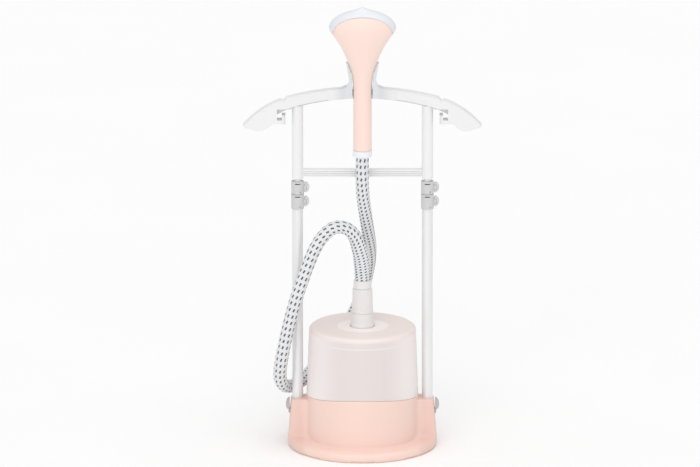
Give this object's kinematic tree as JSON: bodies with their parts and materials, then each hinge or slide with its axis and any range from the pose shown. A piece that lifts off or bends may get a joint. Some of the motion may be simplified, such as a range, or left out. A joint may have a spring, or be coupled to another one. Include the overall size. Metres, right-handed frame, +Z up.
{
  "type": "garment steamer",
  "caption": "Upright garment steamer: round base with a lift-off annular tank, telescopic poles carrying an arched hanger, and a hand unit on a woven hose.",
  "frame": {"origin": "on the floor under the middle of the base, which is the bottom centre of the bounding box without the hose", "axes": "+Z up, the front of the steamer faces -Y, +X to the viewer's right"},
  "size_m": [0.4412, 0.2763, 0.8444],
  "materials": {
    "peach_plastic": "smooth satin moulding",
    "frosted_plastic": "frosted translucent, faintly pink",
    "white_plastic": "satin moulding",
    "cradle_plastic": "satin moulding",
    "grey_plastic": "fine textured moulding",
    "pale_translucent": "slightly translucent moulding",
    "aluminium_tube": "satin anodised",
    "cast_aluminium": "as cast",
    "steel": "zinc plated",
    "rubber": "soft, matte",
    "dark_rubber": "soft, matte",
    "dark_plastic": "fine textured moulding",
    "hose_jacket": "woven jacket, white yarn with grey dashes",
    "black_composite": "moulded"
  },
  "bodies": {
    "root": {"base_skirt": "peach_plastic", "base_shell": "peach_plastic", "base_pan": "peach_plastic", "pan_screws": "steel", "feet": "rubber", "column_cover": "peach_plastic", "lock_lever_pins": "steel", "switch_frame": "dark_plastic", "cable_gland": "dark_rubber", "boiler_body": "cast_aluminium", "boiler_lid": "cast_aluminium", "boiler_screws": "steel", "heating_element": "steel", "thermostat": "black_composite", "thermal_fuse": "steel", "steam_riser": "steel", "valve_seat": "white_plastic", "water_pipe": "rubber", "connector_base": "pale_translucent", "connector_seal": "dark_rubber", "hose_ferrule": "pale_translucent", "hose": "hose_jacket", "lower_tube_left": "aluminium_tube", "lower_tube_right": "aluminium_tube", "lower_clamp_left": "grey_plastic", "lower_clamp_right": "grey_plastic", "lower_clamp_pins": "steel"},
    "mid_poles": {"mid_tube_left": "aluminium_tube", "mid_tube_right": "aluminium_tube", "upper_clamp_left": "grey_plastic", "upper_clamp_right": "grey_plastic", "upper_clamp_pins": "steel"},
    "upper_frame": {"inner_tube_left": "aluminium_tube", "inner_tube_right": "aluminium_tube", "sleeve_left": "white_plastic", "sleeve_right": "white_plastic", "cross_bar": "white_plastic", "hanger": "white_plastic", "hanger_cradle": "cradle_plastic", "cradle_screws": "steel"},
    "hand_unit": {"handle_front_shell": "peach_plastic", "handle_rear_shell": "peach_plastic", "handle_screws": "steel", "steam_plate": "white_plastic", "plate_seal": "dark_rubber", "steam_tube": "white_plastic"},
    "hose_swivel": {"handle_collar": "pale_translucent"},
    "tank": {"tank_body": "frosted_plastic", "tank_floor": "frosted_plastic", "valve_cap": "white_plastic", "valve_spring": "steel"},
    "valve": {"valve_plunger": "white_plastic"},
    "union_nut": {"connector_nut": "pale_translucent"},
    "power_rocker": {"switch_rocker": "black_composite"},
    "lock_left": {"lock_lever_left": "grey_plastic"},
    "lock_right": {"lock_lever_right": "grey_plastic"},
    "lower_lever_left": {"lower_clamp_lever_left": "grey_plastic"},
    "lower_lever_right": {"lower_clamp_lever_right": "grey_plastic"},
    "upper_lever_left": {"upper_clamp_lever_left": "grey_plastic"},
    "upper_lever_right": {"upper_clamp_lever_right": "grey_plastic"}
  },
  "joints": [
    {"name": "frame_rise", "type": "slide", "parent": "root", "child": "upper_frame", "axis": [0, 0, 1], "range_m": [0, 0.66]},
    {"name": "mid_poles_rise", "type": "slide", "parent": "root", "child": "mid_poles", "axis": [0, 0, 1], "range_m": [0, 0.33]},
    {"name": "hand_unit_lift", "type": "slide", "parent": "upper_frame", "child": "hand_unit", "axis": [0, 0, 1], "range_m": [0, 0.05]},
    {"name": "hose_swivel_turn", "type": "hinge", "parent": "hand_unit", "child": "hose_swivel", "pos_m": [0, -0.03, 0.566], "axis": [0, 0, 1], "continuous": true},
    {"name": "tank_lift", "type": "slide", "parent": "root", "child": "tank", "axis": [0, 0, 1], "range_m": [0, 0.045]},
    {"name": "valve_plunger_lift", "type": "slide", "parent": "tank", "child": "valve", "axis": [0, 0, 1], "range_m": [0, 0.003], "stiffness_N_per_m": 60, "springref_m": -0.002, "deforming": ["valve_spring"]},
    {"name": "union_nut_turn", "type": "hinge", "parent": "root", "child": "union_nut", "pos_m": [0, 0, 0.276], "axis": [0, 0, 1], "continuous": true},
    {"name": "power_rocker_tilt", "type": "hinge", "parent": "root", "child": "power_rocker", "pos_m": [0, 0.1015, 0.072], "axis": [-1, 0, 0], "range_deg": [0, 14]},
    {"name": "lock_left_flip", "type": "hinge", "parent": "root", "child": "lock_left", "pos_m": [-0.1329, 0, 0.062], "axis": [0, -1, 0], "range_deg": [0, 70]},
    {"name": "lock_right_flip", "type": "hinge", "parent": "root", "child": "lock_right", "pos_m": [0.1329, 0, 0.062], "axis": [0, 1, 0], "range_deg": [0, 70]},
    {"name": "lower_lever_left_flip", "type": "hinge", "parent": "root", "child": "lower_lever_left", "pos_m": [-0.1054, 0, 0.466], "axis": [0, 0, -1], "range_deg": [0, 90]},
    {"name": "upper_lever_left_flip", "type": "hinge", "parent": "mid_poles", "child": "upper_lever_left", "pos_m": [-0.1054, 0, 0.49275], "axis": [0, 0, -1], "range_deg": [0, 90]},
    {"name": "lower_lever_right_flip", "type": "hinge", "parent": "root", "child": "lower_lever_right", "pos_m": [0.1346, 0, 0.466], "axis": [0, 0, -1], "range_deg": [0, 90]},
    {"name": "upper_lever_right_flip", "type": "hinge", "parent": "mid_poles", "child": "upper_lever_right", "pos_m": [0.1346, 0, 0.49275], "axis": [0, 0, -1], "range_deg": [0, 90]}
  ],
  "couplings": [
    {"joint": "mid_poles_rise", "follows": "frame_rise", "ratio": 0.5}
  ]
}
